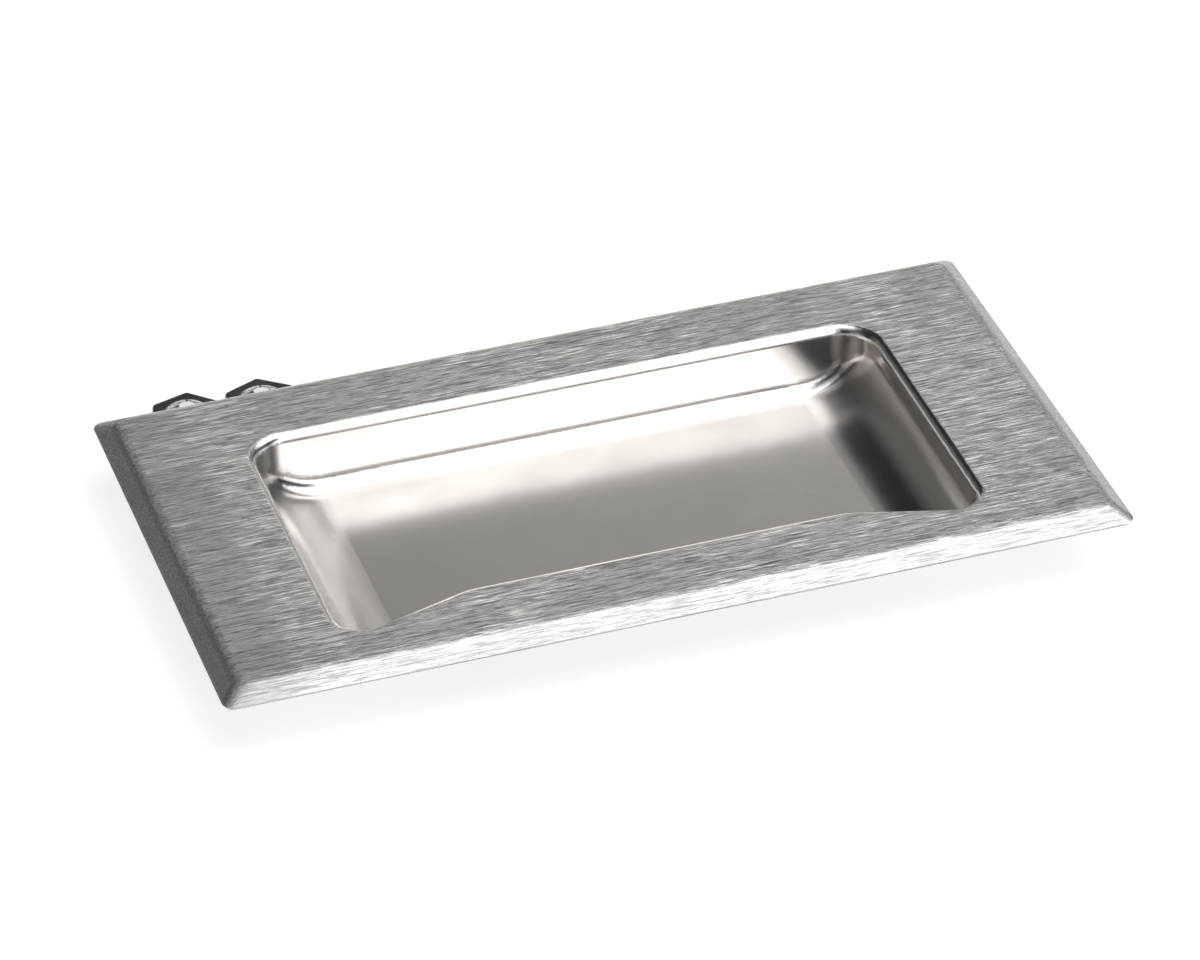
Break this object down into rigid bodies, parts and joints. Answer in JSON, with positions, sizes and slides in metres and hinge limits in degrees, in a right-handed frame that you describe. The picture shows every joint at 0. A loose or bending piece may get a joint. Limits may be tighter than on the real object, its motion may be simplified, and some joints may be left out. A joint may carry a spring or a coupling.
{
  "type": "recessed pull handle",
  "caption": "Stamped stainless recessed pull with a bevelled face plate, a rounded finger cup under an inset grip lip, back studs and loose black push nuts.",
  "frame": {"origin": "on the flat underside of the cup, under the centre of the plate", "axes": "+Z out of the face, +X along the plate, -Y towards the grip lip"},
  "size_m": [0.165, 0.1069, 0.0129],
  "materials": {
    "pan_steel": "brushed along the length, satin inside the cup",
    "stud_steel": "bright drawn",
    "nut_black": "black phosphate on spring steel"
  },
  "bodies": {
    "root": {"pull_pan": "pan_steel", "weld_stud_left": "stud_steel", "weld_stud_right": "stud_steel", "push_nut_1": "nut_black", "push_nut_2": "nut_black"}
  },
  "joints": []
}
